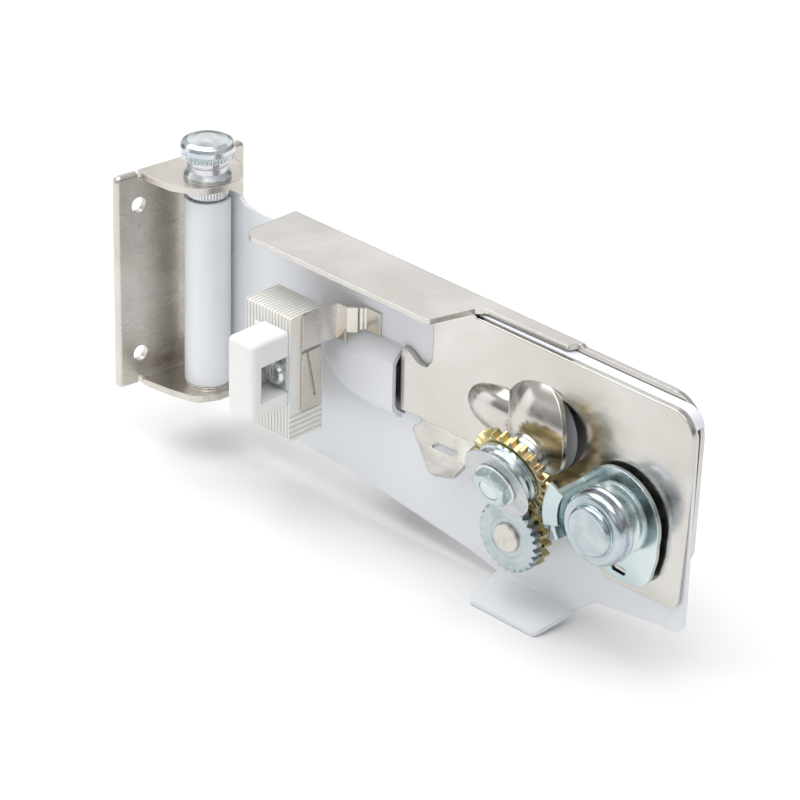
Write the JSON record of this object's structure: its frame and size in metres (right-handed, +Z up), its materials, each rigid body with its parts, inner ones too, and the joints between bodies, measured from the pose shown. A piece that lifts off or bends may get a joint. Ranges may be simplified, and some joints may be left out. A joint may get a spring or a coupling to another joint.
{
  "type": "manual can opener",
  "caption": "Wall-mounted manual can opener: folded screw-on bracket, lift-out hinge pin, swing-away arm, lifting cutter lever, geared feed wheel, crank handle and lid magnet.",
  "frame": {"origin": "centre of the wall bracket's back plane, midway between its screw holes", "axes": "+X points away from the wall along the arm, +Z is up, +Y is the crank side"},
  "size_m": [0.1985, 0.0771, 0.1028],
  "materials": {
    "nickel": "polished nickel plate",
    "zinc": "bright zinc plate",
    "white_paint": "gloss white paint",
    "gold_chromate": "yellow chromate",
    "cutter_steel": "ground",
    "teal_zinc": "blue zinc plate",
    "white_plastic": "satin",
    "magnet_black": "matt",
    "copper_strip": "nickel with copper tint",
    "knob_black": "satin"
  },
  "bodies": {
    "bracket": {"wall_bracket": "nickel"},
    "pin": {"hinge_pin": "zinc"},
    "arm": {"frame": "white_paint", "feed_bush": "zinc", "pivot_stud": "zinc", "rear_pivot_spacer": "zinc", "front_pivot_spacer": "zinc", "guide_bracket": "teal_zinc", "spring_washer": "teal_zinc", "magnet_clip": "nickel"},
    "lever": {"cutter_plate": "nickel", "handle_lever": "nickel", "cutter_stud": "zinc", "gear_spacer": "zinc", "lock_washer": "zinc", "cutter_nut": "zinc"},
    "cutter": {"cutter_gear": "gold_chromate", "cutter_hub": "teal_zinc", "cutter_wheel": "cutter_steel"},
    "drive": {"feed_shaft": "zinc", "feed_wheel": "cutter_steel", "feed_spacer": "zinc", "drive_gear": "zinc", "shaft_collar": "zinc", "thrust_washer": "zinc", "crank_arm": "nickel", "crank_nut": "zinc", "knob_pin": "zinc"},
    "knob": {"crank_knob": "knob_black"},
    "cap": {"roller_cap": "cutter_steel"},
    "magnet_head": {"magnet_arm": "copper_strip", "magnet_housing": "white_plastic", "magnet": "magnet_black", "pole_plate": "zinc", "magnet_cap": "white_plastic", "magnet_screw": "zinc"}
  },
  "joints": [
    {"name": "pin_lift", "type": "slide", "parent": "bracket", "child": "pin", "axis": [0, 0, 1], "range_m": [0, 0.072]},
    {"name": "arm_swing", "type": "hinge", "parent": "bracket", "child": "arm", "pos_m": [0.0152, 0, 0], "axis": [0, 0, 1], "range_deg": [-72, 52]},
    {"name": "lever_lift", "type": "hinge", "parent": "arm", "child": "lever", "pos_m": [0.17593, 0.02679, -0.012], "axis": [-0.1219, 0.9925, 0], "range_deg": [0, 7]},
    {"name": "drive_turn", "type": "hinge", "parent": "arm", "child": "drive", "pos_m": [0.14552, 0.016, -0.0282], "axis": [-0.1219, 0.9925, 0], "continuous": true},
    {"name": "cutter_turn", "type": "hinge", "parent": "lever", "child": "cutter", "pos_m": [0.14636, 0.00913, -0.00636], "axis": [-0.1145, 0.9327, 0.342], "continuous": true},
    {"name": "knob_turn", "type": "hinge", "parent": "drive", "child": "knob", "pos_m": [0.08163, 0.03536, -0.03897], "axis": [-0.1219, 0.9925, 0], "continuous": true},
    {"name": "cap_turn", "type": "hinge", "parent": "arm", "child": "cap", "pos_m": [0.17752, 0.01388, -0.012], "axis": [-0.1219, 0.9925, 0], "continuous": true},
    {"name": "magnet_flex", "type": "hinge", "parent": "arm", "child": "magnet_head", "pos_m": [0.07461, 0.01173, 0.0087], "axis": [0, 0, 1], "range_deg": [-4, 10], "stiffness_Nm_per_rad": 1}
  ],
  "couplings": [
    {"joint": "cutter_turn", "follows": "drive_turn", "ratio": -0.81818}
  ]
}
